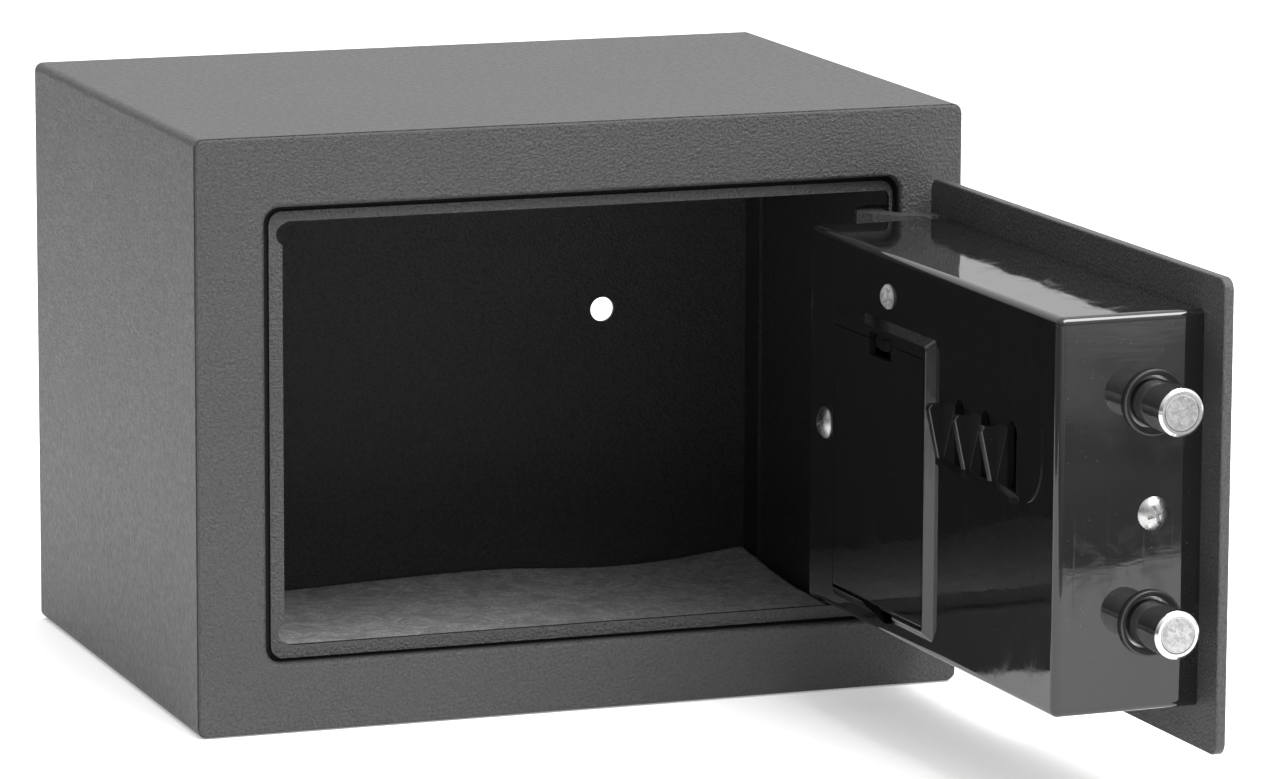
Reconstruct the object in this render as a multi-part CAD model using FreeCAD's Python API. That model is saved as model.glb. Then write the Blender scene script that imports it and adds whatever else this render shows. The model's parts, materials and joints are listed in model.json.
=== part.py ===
"""Small electronic room safe, door standing open with its bolts thrown.

Millimetres. The origin is the centre of the cabinet's underside, +Z is up and the front faces -Y.
The door and all it carries are drawn shut, then swung about the hinge pins to the rest position.
"""
import FreeCAD, Part
import math
import os

V = FreeCAD.Vector
X, Y, Z = V(1, 0, 0), V(0, 1, 0), V(0, 0, 1)

# ---- cabinet -------------------------------------------------------------------------------
WIDTH, DEPTH, HEIGHT = 230.0, 170.0, 170.0
FRONT, BACK = -DEPTH / 2, DEPTH / 2
SHELL_T = 1.2
SHELL_R = 2.5
FRAME_T = 1.5
FRAME_INSET = 0.3            # the front sheet stands this far inside the shell's outline
REAR_LIP = 0.8               # how far the shell runs past the back panel
REAR_FLANGE = 13.0
RECESS_X0, RECESS_X1 = -95.0, 95.8
RECESS_Z0, RECESS_Z1 = 20.0, 150.0
RECESS_DEPTH = 3.4
RECESS_R = 4.8
RIM_R = 1.2                  # rolled edge of the recess
GROOVE_X0, GROOVE_X1 = RECESS_X0 + 2.2, RECESS_X1 - 1.2
GROOVE_Z0, GROOVE_Z1 = RECESS_Z0 + 0.9, RECESS_Z1 - 1.6
GROOVE_DEPTH = 1.0           # sunk line between the recess's wall and the raised band beside it
OPEN_X0, OPEN_X1 = -88.8, 93.6
OPEN_Z0, OPEN_Z1 = 24.5, 145.5
RELIEF_R = 3.2               # round corner reliefs beside the opening
ANCHOR_X, ANCHOR_Z, ANCHOR_R = 65.0, 85.5, 3.8
MAT_T = 3.0

# ---- hinges --------------------------------------------------------------------------------
HINGE_X, HINGE_Y = 101.6, -79.5
DOOR_OPEN_DEG = 91.7         # how far the door stands open at rest
PIN_R = 2.0
PIN_FIT = 0.06               # radial clearance of the arms on their pins
EYE_R = 3.6
ARM_T = 3.5
ARM_TOP_UPPER = 139.5
ARM_TOP_LOWER = 34.0

# ---- door ----------------------------------------------------------------------------------
DOOR_X0, DOOR_X1 = -94.4, 94.05
DOOR_Z0, DOOR_Z1 = 20.6, 149.4
DOOR_T = 3.0
DOOR_R = 3.5
INNER = FRONT + DOOR_T       # the plate's inner face; depths in the door are counted from it
COVER_X = 82.9
COVER_Z0, COVER_Z1 = 32.0, 139.6
COVER_D = 42.4
COVER_WALL = 2.0
COVER_R = 2.2
VENT_Z0, VENT_Z1 = 88.0, 104.0
FIN_XS = (-9.4, -26.6, -43.8)
FIN_W = 2.6
SLOT_XS = (-20.9, -37.9, -54.9)
SLOT_R, SLOT_TOP = 2.9, 104.3

# ---- battery compartment on the inner cover ---------------------------------------------------
RAISE = 2.2                  # height of the raised panel around the lid
PANEL_X0, PANEL_X1 = -5.2, 63.2
PANEL_Z0, PANEL_Z1 = 36.5, 120.8
PANEL_SLOPE = 2.4
LID_X0, LID_X1 = -1.6, 59.2
LID_Z0, LID_Z1 = 39.9, 115.0
LID_T = 2.0
LID_GAP = 0.3
LID_PIVOT_R = 0.7            # stubs at the lid's rounded lower edge, which it turns on
LID_PIVOT_L = 1.1
TRAY_WALL = 1.4
TRAY_FLOOR = 24.4
CELL_R, CELL_L = 7.2, 50.0
CELL_PITCH = 15.0
CELL_Z = 47.4
CELL_X = 28.8

# ---- bolt work -------------------------------------------------------------------------------
BOLT_R = 6.5
BOLT_FIT = 0.05
BOLT_DEPTH = 14.5
BOLT_ZS = {"upper": 115.6, "lower": 56.0}
BOLT_TIP, BOLT_END = -100.0, -56.4
CROSSBAR_W = 6.0
CRANK_R = 10.0
KNOB_X, KNOB_Z = 48.0, 104.0
LOCK_X, LOCK_Z = 48.0, 56.0
LINK_DEPTH, LINK_T = 9.0, 2.0
LINK_Z0, LINK_Z1 = 101.5, 111.0
STOP_Z = 97.0                # lower end of the stop that the plunger blocks
PLUNGER_X, PLUNGER_DEPTH = -18.0, 11.0
PLUNGER_TOP = STOP_Z - 0.6   # with the plunger drawn down

# ---- front panel -----------------------------------------------------------------------------
PAD_X, PAD_Z = -31.0, 85.0
PAD_W, PAD_H, PAD_D = 74.0, 98.0, 14.0
KEY_W, KEY_H, KEY_PROUD, KEY_L = 15.0, 10.5, 1.4, 5.4
KEY_PITCH_X, KEY_PITCH_Z = 19.5, 15.0
KEY_GAP = 0.35
KEY_TOP_Z = 96.0
KEY_ROWS = [["1", "2", "3"], ["4", "5", "6"], ["7", "8", "9"], ["clear", "0", "enter"]]


# ---- building blocks ---------------------------------------------------------------------------
def box(x0, x1, y0, y1, z0, z1):
    return Part.makeBox(x1 - x0, y1 - y0, z1 - z0, V(x0, y0, z0))


def rod(radius, start, direction, length):
    return Part.makeCylinder(radius, length, start, direction)


def fuse(shapes):
    whole = shapes[0].multiFuse(shapes[1:]) if len(shapes) > 1 else shapes[0]
    return whole.removeSplitter()


def along(shape, axis):
    """Straight edges of a shape that run along one axis."""
    found = []
    for edge in shape.Edges:
        run = edge.Vertexes[-1].Point.sub(edge.Vertexes[0].Point)
        if run.Length > 1e-6 and abs(abs(run.dot(axis)) - run.Length) < 1e-6:
            found.append(edge)
    return found


def rounded(x0, x1, y0, y1, z0, z1, radius, axis=Y):
    """A box with the four edges along one axis rounded."""
    block = box(x0, x1, y0, y1, z0, z1)
    return block.makeFillet(radius, along(block, axis))


def edges_at(shape, axis, place):
    """Edges that lie wholly in the plane at one place along an axis."""
    return [e for e in shape.Edges if all(abs(v.Point.dot(axis) - place) < 1e-4 for v in e.Vertexes)
            and abs(e.CenterOfMass.dot(axis) - place) < 1e-4]


def plate(points, low, high):
    """A flat plate with its outline in XY, from one height to another."""
    outline = Part.makePolygon([V(px, py, low) for px, py in points + points[:1]])
    return Part.Face(outline).extrude(V(0, 0, high - low))


def depth(distance):
    """The Y of a point this far inside the door plate's inner face, with the door shut."""
    return INNER + distance


def swing(shape):
    """Turn a piece of the shut door about the hinge pins to the rest position."""
    turned = shape.copy()
    turned.rotate(V(HINGE_X, HINGE_Y, 0), Z, DOOR_OPEN_DEG)
    return turned


# ---- cabinet -------------------------------------------------------------------------------------
def body_shell():
    half = WIDTH / 2
    outer = rounded(-half, half, FRONT + FRAME_T, BACK, 0, HEIGHT, SHELL_R)
    inner = rounded(SHELL_T - half, half - SHELL_T, FRONT, BACK + 1, SHELL_T, HEIGHT - SHELL_T,
                    SHELL_R - SHELL_T)
    return outer.cut(inner)


def back_panel():
    """Pressed back with a flange along its sides and top, set into the shell."""
    half = WIDTH / 2 - SHELL_T - 0.05
    low, high = SHELL_T + 0.05, HEIGHT - SHELL_T - 0.05
    rear = BACK - REAR_LIP
    tray = rounded(-half, half, rear - REAR_FLANGE, rear, low, high, SHELL_R - SHELL_T)
    hollow = box(SHELL_T - half, half - SHELL_T, rear - REAR_FLANGE - 1, rear - SHELL_T,
                 low - 1, high - SHELL_T)
    hole = rod(ANCHOR_R, V(ANCHOR_X, rear - 5, ANCHOR_Z), Y, 10)
    return tray.cut(hollow).cut(hole)


def front_frame():
    """Front sheet with the door's recess, a sunk line round it and the opening in its floor."""
    half = WIDTH / 2 - FRAME_INSET
    sheet = rounded(-half, half, FRONT, FRONT + FRAME_T, FRAME_INSET, HEIGHT - FRAME_INSET, SHELL_R)
    back = FRONT + RECESS_DEPTH + FRAME_T
    pan = rounded(RECESS_X0 - FRAME_T, RECESS_X1 + FRAME_T, FRONT + FRAME_T, back,
                  RECESS_Z0 - FRAME_T, RECESS_Z1 + FRAME_T, RECESS_R + FRAME_T)
    recess = rounded(RECESS_X0, RECESS_X1, FRONT - 1, FRONT + RECESS_DEPTH, RECESS_Z0, RECESS_Z1,
                     RECESS_R)
    floor = FRONT + RECESS_DEPTH
    groove = rounded(RECESS_X0, RECESS_X1, floor - 0.5, floor + GROOVE_DEPTH, RECESS_Z0, RECESS_Z1,
                     RECESS_R)
    band = rounded(GROOVE_X0, GROOVE_X1, floor - 1, floor + 2, GROOVE_Z0, GROOVE_Z1, RECESS_R - 1)
    frame = sheet.fuse(pan).cut(recess).cut(groove.cut(band))
    rim = [e for e in edges_at(frame, Y, FRONT)
           if e.BoundBox.XMin > RECESS_X0 - 1 and e.BoundBox.XMax < RECESS_X1 + 1
           and e.BoundBox.ZMin > RECESS_Z0 - 1]
    frame = frame.makeFillet(RIM_R, rim)
    outside = [e for e in edges_at(frame, Y, FRONT)
               if max(abs(e.CenterOfMass.x), abs(e.CenterOfMass.z - HEIGHT / 2)) > HEIGHT / 2 - 1]
    frame = frame.makeFillet(0.6, outside)
    opening = rounded(OPEN_X0, OPEN_X1, FRONT - 1, back + 1, OPEN_Z0, OPEN_Z1, 2.0)
    for z in (OPEN_Z0 + RELIEF_R + 0.5, OPEN_Z1 - RELIEF_R - 0.5):
        opening = opening.fuse(rod(RELIEF_R, V(OPEN_X0 + 1.4, FRONT - 1, z), Y, 10))
    return frame.cut(opening).removeSplitter()


def felt_mat():
    half = WIDTH / 2 - SHELL_T - 2.2
    return rounded(-half, half, FRONT + 6.5, BACK - 3.5, SHELL_T, SHELL_T + MAT_T, 2.0, Z)


def hinge_bracket(arm_top):
    """Two lugs and a web, welded behind the front sheet, with the arm's eye between the lugs."""
    web_x0, web_x1, gap, lug = 107.2, 109.2, 0.3, 2.0
    sheet_back = FRONT + FRAME_T
    low, high = arm_top - ARM_T - gap - lug, arm_top + gap + lug
    web = box(web_x0, web_x1, sheet_back, HINGE_Y + 1.0, low, high)
    lugs = [box(HINGE_X - 3.5, web_x1, sheet_back, HINGE_Y + 4.0, z, z + lug)
            for z in (low, high - lug)]
    hole = rod(PIN_R, V(HINGE_X, HINGE_Y, low - 1), Z, high - low + 2)
    return fuse([web] + lugs).cut(hole)


def hinge_pin(arm_top):
    low, high = arm_top - ARM_T - 3.0, arm_top + 2.3
    pin = rod(PIN_R, V(HINGE_X, HINGE_Y, low), Z, high - low)
    head = rod(PIN_R + 1.2, V(HINGE_X, HINGE_Y, high), Z, 1.4)
    return fuse([pin, head])


def hinge_arm(arm_top, tab_low, tab_high):
    """Flat gooseneck: an eye on the pin, a hook round the opening's edge, a foot on the door."""
    low = arm_top - ARM_T
    clear_r, neck = 8.8, 2.5
    hook = plate([(HINGE_X + px, HINGE_Y + py) for px, py in
                  [(6.0, 6.0), (10.4, 8.6), (9.0, 12.4), (5.0, 15.8), (0.0, 17.3), (-5.5, 14.6),
                   (-10.5, 9.8), (-14.0, 4.0), (-15.5, -2.5), (-8.4, -2.5), (-5.0, 5.0)]],
                 low, arm_top)
    hook = hook.cut(rod(clear_r, V(HINGE_X, HINGE_Y, low - 1), Z, ARM_T + 2))
    reach = box(0, 11.0, -neck, neck, low, arm_top)
    reach.rotate(V(0, 0, 0), Z, 45)
    reach.translate(V(HINGE_X, HINGE_Y, 0))
    eye = rod(EYE_R, V(HINGE_X, HINGE_Y, low), Z, ARM_T)
    tab = box(HINGE_X - 15.5, HINGE_X - 9.2, INNER, INNER + 2.0, tab_low, tab_high)
    bore = rod(PIN_R + PIN_FIT, V(HINGE_X, HINGE_Y, low - 1), Z, ARM_T + 2)
    return fuse([hook, reach, eye, tab]).cut(bore)


# ---- door ------------------------------------------------------------------------------------------
def door_plate():
    slab = rounded(DOOR_X0, DOOR_X1, FRONT, INNER, DOOR_Z0, DOOR_Z1, DOOR_R)
    slab = slab.makeFillet(0.6, edges_at(slab, Y, FRONT) + edges_at(slab, Y, INNER))
    spindle = rod(4.0 + PIN_FIT, V(KNOB_X, FRONT - 1, KNOB_Z), Y, DOOR_T + 2)
    lock = rod(9.6, V(LOCK_X, FRONT - 1, LOCK_Z), Y, DOOR_T + 2)
    cable = rounded(PAD_X - 9, PAD_X + 9, FRONT - 1, INNER + 1, PAD_Z - 30, PAD_Z - 23, 2.0)
    return slab.cut(spindle).cut(lock).cut(cable)


def raised_panel(face):
    """Sloping block that carries the battery lid, standing on the cover's face."""
    def ring(inset, y):
        corners = [(PANEL_X0 + inset, PANEL_Z0 + inset), (PANEL_X1 - inset, PANEL_Z0 + inset),
                   (PANEL_X1 - inset, PANEL_Z1 - inset), (PANEL_X0 + inset, PANEL_Z1 - inset)]
        return Part.makePolygon([V(px, y, pz) for px, pz in corners + corners[:1]])
    root = 0.25                  # share of the slope that is carried on down into the wall
    block = Part.makeLoft([ring(-root * PANEL_SLOPE, face - root * RAISE),
                           ring(PANEL_SLOPE, face + RAISE)], True, True)
    corners = [e for e in block.Edges if e.BoundBox.YLength > RAISE / 2]
    block = block.makeFillet(2.0, corners)
    return block.makeFillet(0.7, edges_at(block, Y, face + RAISE))


def vent_slots(face):
    """Three upright slots with round tops through the cover."""
    slots = []
    for x in SLOT_XS:
        slots.append(box(x - SLOT_R, x + SLOT_R, face - 5, face + 5, VENT_Z0 + 0.6, SLOT_TOP))
        slots.append(rod(SLOT_R, V(x, face - 5, SLOT_TOP), Y, 10))
    return fuse(slots)


def vent_fin(face, flank_x):
    """Upright gusset beside a slot: its crest leans out towards its rounded top."""
    low_rise, high_rise, soft = 0.7, 3.9, 0.35
    side = [V(flank_x, face - 0.5, VENT_Z0), V(flank_x, face - 0.5, VENT_Z1),
            V(flank_x, face + high_rise - 0.9, VENT_Z1), V(flank_x, face + high_rise, VENT_Z1 - 1.2),
            V(flank_x, face + low_rise, VENT_Z0)]
    fin = Part.Face(Part.makePolygon(side + side[:1])).extrude(V(FIN_W, 0, 0))
    crest = [e for e in fin.Edges if all(v.Point.y > face + low_rise - 0.1 for v in e.Vertexes)]
    return fin.makeFillet(soft, crest)


def vent_foot(face, flank_x):
    """Low sloping ledge from a gusset's lower end to beneath the next slot."""
    start_x, end_x, drop, high, proud = flank_x + 1.1, flank_x - 13.2, 2.0, 1.6, 1.3
    start_z = VENT_Z0 + 0.9
    outline = [V(start_x, face - 0.6, start_z), V(start_x, face - 0.6, start_z - high),
               V(end_x, face - 0.6, start_z - high - drop), V(end_x, face - 0.6, start_z - drop)]
    return Part.Face(Part.makePolygon(outline + outline[:1])).extrude(V(0, 0.6 + proud, 0))


def vent_ribs(face):
    """The gussets beside the slots, each with its foot."""
    ribs = []
    for flank_x in FIN_XS:
        ribs.append(vent_fin(face, flank_x))
        ribs.append(vent_foot(face, flank_x))
    return ribs


def vent_bead(face):
    """Shallow bead that closes the row of vents: an upright run and a round corner."""
    upright = box(-73.6, -72.6, face - 0.5, face + 0.35, 98.5, 108.5)
    ring = rod(12.0, V(-61.6, face - 0.5, 98.5), Y, 0.85).cut(
        rod(11.0, V(-61.6, face - 1.0, 98.5), Y, 2.0))
    corner = ring.common(box(-74, -61.6, face - 1, face + 1, 86, 98.5))
    return [upright, corner]


def inner_cover():
    """Moulded cover over the lock work: open to the door plate, with the battery opening."""
    face = depth(COVER_D)
    outer = box(-COVER_X, COVER_X, INNER, face, COVER_Z0, COVER_Z1)
    soft = [e for e in outer.Edges if any(abs(v.Point.y - INNER) > 1e-6 for v in e.Vertexes)]
    outer = outer.makeFillet(COVER_R, soft)
    wall = COVER_WALL
    inner = box(wall - COVER_X, COVER_X - wall, INNER - 1, face - wall, COVER_Z0 + wall,
                COVER_Z1 - wall)
    shell = outer.cut(inner)
    shell = fuse([shell, raised_panel(face)] + vent_ribs(face) + vent_bead(face))
    lid = box(LID_X0 - LID_GAP, LID_X1 + LID_GAP, face - 5, face + 5, LID_Z0 - LID_GAP,
              LID_Z1 + LID_GAP)
    window = box(20.5, 35.2, face - 5, face + 5, LID_Z1, 117.0)
    notch_r, notch_z = 14.3, LID_Z0 + 9.7
    notch = rod(notch_r, V(27.6, face - 5, notch_z), Y, 10)
    notch = notch.common(box(10, 45, face - 5, face + 5, 30, LID_Z0 + 1))
    button = rod(3.9, V(27.6, face - 5, 127.8), Y, 10)
    side_screw = rod(2.2, V(70.8, face - 5, 84.7), Y, 10)
    end_screw = rod(2.2, V(-COVER_X - 1, depth(14.0), 85.6), X, 5)
    pivot = rod(LID_PIVOT_R + PIN_FIT, V(LID_X0 - LID_PIVOT_L - 0.2, *lid_axis()), X,
                LID_X1 - LID_X0 + 2 * LID_PIVOT_L + 0.4)
    cut = [lid, window, notch, button, side_screw, end_screw, pivot, vent_slots(face)]
    for z in BOLT_ZS.values():
        cut.append(rod(8.0, V(-COVER_X - 1, depth(BOLT_DEPTH), z), X, 5))
    for tool in cut:
        shell = shell.cut(tool)
    return shell.removeSplitter()


def pan_screw(head, direction, length):
    """Pan-head cross-recess screw; head is the seat's centre, direction points down the thread."""
    dome = Part.makeSphere(6.4, V(0, 0, -4.2)).common(rod(4.6, V(0, 0, 0), Z, 2.3))
    shank = rod(1.9, V(0, 0, -length), Z, length + 0.2)
    screw = dome.fuse(shank)
    for turn in (0, 90):
        arm = box(-2.6, 2.6, -0.5, 0.5, 1.0, 3.0)
        arm.rotate(V(0, 0, 0), Z, turn + 20)
        screw = screw.cut(arm)
    screw.Placement = FreeCAD.Placement(head, FreeCAD.Rotation(V(0, 0, -1), direction))
    return screw


def bolt_collar(z):
    """Ring set in the cover's end face round a bolt."""
    start = V(-COVER_X - 1.3, depth(BOLT_DEPTH), z)
    ring = rod(9.0, start, X, 1.3).fuse(rod(7.8, start, X, 3.6))
    lip = [e for e in ring.Edges if abs(e.CenterOfMass.x - start.x) < 1e-4 and e.Length > 50]
    ring = ring.makeFillet(0.4, lip)
    funnel = Part.makeCone(8.5, 7.2, 1.3, start, X)
    return ring.cut(rod(7.2, V(start.x - 1, start.y, start.z), X, 6)).cut(funnel)


def bolt(z):
    """Round bolt with a bevelled tip; its inner end meets the carriage."""
    body = rod(BOLT_R, V(BOLT_TIP, depth(BOLT_DEPTH), z), X, BOLT_END - BOLT_TIP)
    tip = [e for e in body.Edges if abs(e.CenterOfMass.x - BOLT_TIP) < 1e-4]
    return body.makeChamfer(0.7, tip)


def bolt_guide():
    """Bent bracket on the door plate; both bolts run in its two upright walls."""
    low, high = BOLT_ZS["lower"] - 12, BOLT_ZS["upper"] + 12
    near, far, sheet = -COVER_X + 2.4, -62.0, 2.0
    base = box(near, far + sheet, INNER, depth(sheet), low, high)
    walls = [box(x, x + sheet, INNER, depth(25.0), low, high) for x in (near, far)]
    bracket = fuse([base] + walls)
    for z in BOLT_ZS.values():
        bracket = bracket.cut(rod(BOLT_R + BOLT_FIT, V(near - 1, depth(BOLT_DEPTH), z), X, 24))
    return bracket.cut(rod(1.9, V(near - 1, depth(14.0), 85.6), X, 4))


def bolt_crossbar():
    """Bar that joins the bolts' inner ends."""
    return box(BOLT_END, BOLT_END + CROSSBAR_W, depth(8), depth(21), BOLT_ZS["lower"] - 6,
               BOLT_ZS["upper"] + 6)


def bolt_link():
    """Flat link from the bar to the knob, with the upright slot that the crank pin drives."""
    near, far = depth(LINK_DEPTH), depth(LINK_DEPTH + LINK_T)
    head_x0, head_x1 = KNOB_X - 14, KNOB_X + 12
    link = box(BOLT_END + CROSSBAR_W, head_x0, near, far, LINK_Z0, LINK_Z1)
    head = box(head_x0, head_x1, near, far, LINK_Z0, KNOB_Z + 16)
    pin_x = KNOB_X - CRANK_R * math.sin(math.radians(45))
    slot = box(pin_x - 2.5, pin_x + 2.5, near - 1, far + 1, KNOB_Z + 4.3, KNOB_Z + 12.8)
    return fuse([link, head]).cut(slot)


def link_stop():
    """Block riveted to the link; the raised plunger stands in its way."""
    face = depth(LINK_DEPTH + LINK_T)
    return box(PLUNGER_X - 8, PLUNGER_X - 4, face, face + 2.5, STOP_Z, LINK_Z0 + 6)


# ---- battery compartment ------------------------------------------------------------------------------
def battery_tray():
    x0, x1, z0, z1 = -4.0, 61.6, 37.5, 118.2
    low, high = depth(TRAY_FLOOR), depth(COVER_D - COVER_WALL - 0.1)
    tray = box(x0, x1, low, high, z0, z1)
    wall = TRAY_WALL
    tray = tray.cut(box(x0 + wall, x1 - wall, low + wall, high + 1, z0 + wall, z1 - wall))
    shelf_z = CELL_Z + 3.5 * CELL_PITCH + 0.6
    return fuse([tray, box(x0 + 1, x1 - 1, low + 1, depth(34), shelf_z, shelf_z + wall)])


def battery_cell(index):
    """Round cell lying across the tray, its button alternating from side to side."""
    z = CELL_Z + index * CELL_PITCH
    y = depth(TRAY_FLOOR + TRAY_WALL + 0.15) + CELL_R
    side = 1 if index % 2 == 0 else -1
    can = rod(CELL_R, V(CELL_X - side * CELL_L / 2, y, z), V(side, 0, 0), CELL_L - 1.2)
    button = rod(2.7, V(CELL_X + side * (CELL_L / 2 - 1.2), y, z), V(side, 0, 0), 1.2)
    return fuse([can, button])


def battery_contacts():
    """Leaf contacts standing on the tray's side walls, two to a cell."""
    y = depth(TRAY_FLOOR + TRAY_WALL + 0.15) + CELL_R
    leaves = []
    for index in range(4):
        z = CELL_Z + index * CELL_PITCH
        for side, wall_x in ((-1, -2.6), (1, 60.2)):
            x = wall_x if side < 0 else wall_x - 0.5
            leaf = box(x, x + 0.5, y - 5, y + 5, z - 5, z + 5)
            nub_x = x + 0.5 if side < 0 else x
            nub = Part.makeCone(3.4, 2.0, 5.1, V(nub_x, y, z), V(-side, 0, 0))
            leaves.append(fuse([leaf, nub]))
    return Part.makeCompound(leaves)


def lid_axis():
    """Y and Z of the line that the lid turns on, in the middle of its rounded lower edge."""
    return depth(COVER_D + RAISE - LID_T / 2), LID_Z0 + LID_T / 2


def battery_lid():
    face = depth(COVER_D + RAISE)
    axis_y, axis_z = lid_axis()
    lid = box(LID_X0, LID_X1, face - LID_T, face, axis_z, LID_Z1)
    edge = rod(LID_T / 2, V(LID_X0, axis_y, axis_z), X, LID_X1 - LID_X0)
    stubs = rod(LID_PIVOT_R, V(LID_X0 - LID_PIVOT_L, axis_y, axis_z), X,
                LID_X1 - LID_X0 + 2 * LID_PIVOT_L)
    window = box(20.5, 35.2, face - 5, face + 5, 110.5, 120)
    rib = box(10, 47, face - LID_T - 0.8, face - LID_T, 70, 71.5)
    return fuse([lid, edge, stubs, rib]).cut(window)


def lid_latch():
    """Sprung tongue in the lid's window."""
    face = depth(COVER_D + RAISE)
    bar = box(23.2, 32.5, face - 2.2, face - 1.0, 112.8, 116.7)
    grip = box(25.0, 27.6, face - 1.0, face - 0.3, 112.8, 115.8)
    return fuse([bar, grip])


# ---- small works inside the door ---------------------------------------------------------------------
def reset_button():
    face = depth(COVER_D)
    dome = Part.makeSphere(4.4, V(27.6, face - 2.3, 127.8)).common(
        rod(3.5, V(27.6, face - 1.0, 127.8), Y, 4))
    stem = rod(3.5, V(27.6, depth(37.2), 127.8), Y, COVER_D - 37.2 - 0.9)
    return fuse([dome, stem])


def reset_switch():
    post = rod(3.0, V(27.6, INNER, 127.8), Y, 30.0)
    case = box(24.1, 31.1, depth(30.0), depth(35.3), 124.3, 131.3)
    return fuse([post, case])


def screw_post():
    """Pillar on the door plate that takes the cover's side screw."""
    post = rod(4.0, V(70.8, INNER, 84.7), Y, COVER_D - COVER_WALL - 0.1)
    return post.cut(rod(1.9, V(70.8, depth(30.0), 84.7), Y, 20))


def circuit_board():
    """Board on four feet with its chip, buzzer and plugs."""
    board = box(-30, 34, depth(12), depth(13.6), 35, 61)
    feet = [rod(2.0, V(x, INNER, z), Y, 12.5) for x in (-27, 31) for z in (38, 58)]
    chip = box(-16, -4, depth(13), depth(15.2), 43, 51)
    buzzer = rod(6.0, V(12, depth(13), 48), Y, 5.5)
    plugs = [box(x, x + 6, depth(13), depth(18), 38, 42) for x in (-25, 20)]
    return fuse([board, chip, buzzer] + feet + plugs)


def solenoid_frame():
    x0, x1, z0, z1 = PLUNGER_X - 10, PLUNGER_X + 10, 68.0, 92.0
    frame = box(x0, x1, INNER, depth(20), z0, z1)
    hollow = box(x0 + 1.5, x1 - 1.5, depth(1.5), depth(21), z0 + 1.5, z1 - 1.5)
    bore = rod(3.0, V(PLUNGER_X, depth(PLUNGER_DEPTH), z0 - 1), Z, z1 - z0 + 2)
    return frame.cut(hollow).cut(bore)


def solenoid_coil():
    coil = rod(7.6, V(PLUNGER_X, depth(PLUNGER_DEPTH), 69.8), Z, 20.4)
    return coil.cut(rod(2.9, V(PLUNGER_X, depth(PLUNGER_DEPTH), 68), Z, 24))


def solenoid_plunger():
    """Locking plunger, drawn down clear of the link's stop; it rises beside the stop to lock."""
    foot_z, foot_t = 62.2, 1.4
    core = rod(2.5, V(PLUNGER_X, depth(PLUNGER_DEPTH), foot_z), Z, PLUNGER_TOP - foot_z)
    foot = rod(4.2, V(PLUNGER_X, depth(PLUNGER_DEPTH), foot_z), Z, foot_t)
    return fuse([core, foot])


def knob():
    """Round knob with a raised grip across it."""
    base_y = FRONT - 2.3
    base = rod(18.0, V(KNOB_X, base_y - 6.0, KNOB_Z), Y, 6.0)
    rim = [e for e in base.Edges if abs(e.CenterOfMass.y - (base_y - 6.0)) < 1e-4]
    base = base.makeFillet(1.6, rim)
    grip = box(KNOB_X - 5.0, KNOB_X + 5.0, base_y - 20.0, base_y - 5.5, KNOB_Z - 17.0, KNOB_Z + 17.0)
    grip = grip.makeFillet(2.2, along(grip, Y))
    grip = grip.makeFillet(1.5, edges_at(grip, Y, base_y - 20.0))
    mark = box(KNOB_X - 0.6, KNOB_X + 0.6, base_y - 20.6, base_y - 19.4, KNOB_Z + 8.0, KNOB_Z + 14.0)
    return fuse([base, grip]).cut(mark)


def knob_ring():
    """Fixed ring round the knob's foot."""
    ring = rod(21.5, V(KNOB_X, FRONT - 2.0, KNOB_Z), Y, 2.0)
    rim = [e for e in ring.Edges if abs(e.CenterOfMass.y - (FRONT - 2.0)) < 1e-4]
    ring = ring.makeFillet(0.8, rim)
    return ring.cut(rod(5.0, V(KNOB_X, FRONT - 4, KNOB_Z), Y, 6))


def knob_spindle():
    """Shaft through the door plate with the crank disc and its pin."""
    shaft = rod(4.0, V(KNOB_X, FRONT - 2.3, KNOB_Z), Y, DOOR_T + 2.3 + 8.0)
    disc = rod(14.0, V(KNOB_X, depth(4.5), KNOB_Z), Y, 3.5)
    offset = CRANK_R * math.sin(math.radians(45))
    pin = rod(2.0, V(KNOB_X - offset, depth(7.5), KNOB_Z + offset), Y, 5.0)
    return fuse([shaft, disc, pin])


def lock_cylinder():
    """Body of the emergency key lock, clamped through the door plate."""
    flange = rod(11.5, V(LOCK_X, FRONT - 1.5, LOCK_Z), Y, 1.5)
    body = rod(9.4, V(LOCK_X, FRONT - 0.5, LOCK_Z), Y, DOOR_T + 20.5)
    nut = rod(12.5, V(LOCK_X, INNER, LOCK_Z), Y, 4.0)
    bore = rod(6.06, V(LOCK_X, FRONT - 3, LOCK_Z), Y, 40)
    return fuse([flange, body, nut]).cut(bore)


def lock_plug():
    """Turning plug with its key slot."""
    plug = rod(6.0, V(LOCK_X, FRONT - 1.5, LOCK_Z), Y, DOOR_T + 21.8)
    slot = box(LOCK_X - 0.7, LOCK_X + 0.7, FRONT - 2, FRONT + 12, LOCK_Z - 4.2, LOCK_Z + 4.2)
    return plug.cut(slot)


def lock_cam():
    """Flat lever on the plug's inner end."""
    hub = rod(7.5, V(LOCK_X, depth(20.3), LOCK_Z), Y, 2.0)
    lever = box(LOCK_X - 4.0, LOCK_X + 4.0, depth(20.3), depth(22.3), LOCK_Z, LOCK_Z + 18.0)
    return fuse([hub, lever])


def lock_cover():
    """Round cap over the keyhole, hung from a rivet at its top."""
    disc = rod(13.0, V(LOCK_X, FRONT - 3.8, LOCK_Z), Y, 1.8)
    ear = rod(4.0, V(LOCK_X, FRONT - 3.8, LOCK_Z + 14.5), Y, 1.8)
    bridge = box(LOCK_X - 4.0, LOCK_X + 4.0, FRONT - 3.8, FRONT - 2.0, LOCK_Z + 9, LOCK_Z + 14.5)
    bore = rod(1.5 + PIN_FIT, V(LOCK_X, FRONT - 5, LOCK_Z + 14.5), Y, 5)
    return fuse([disc, ear, bridge]).cut(bore)


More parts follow.
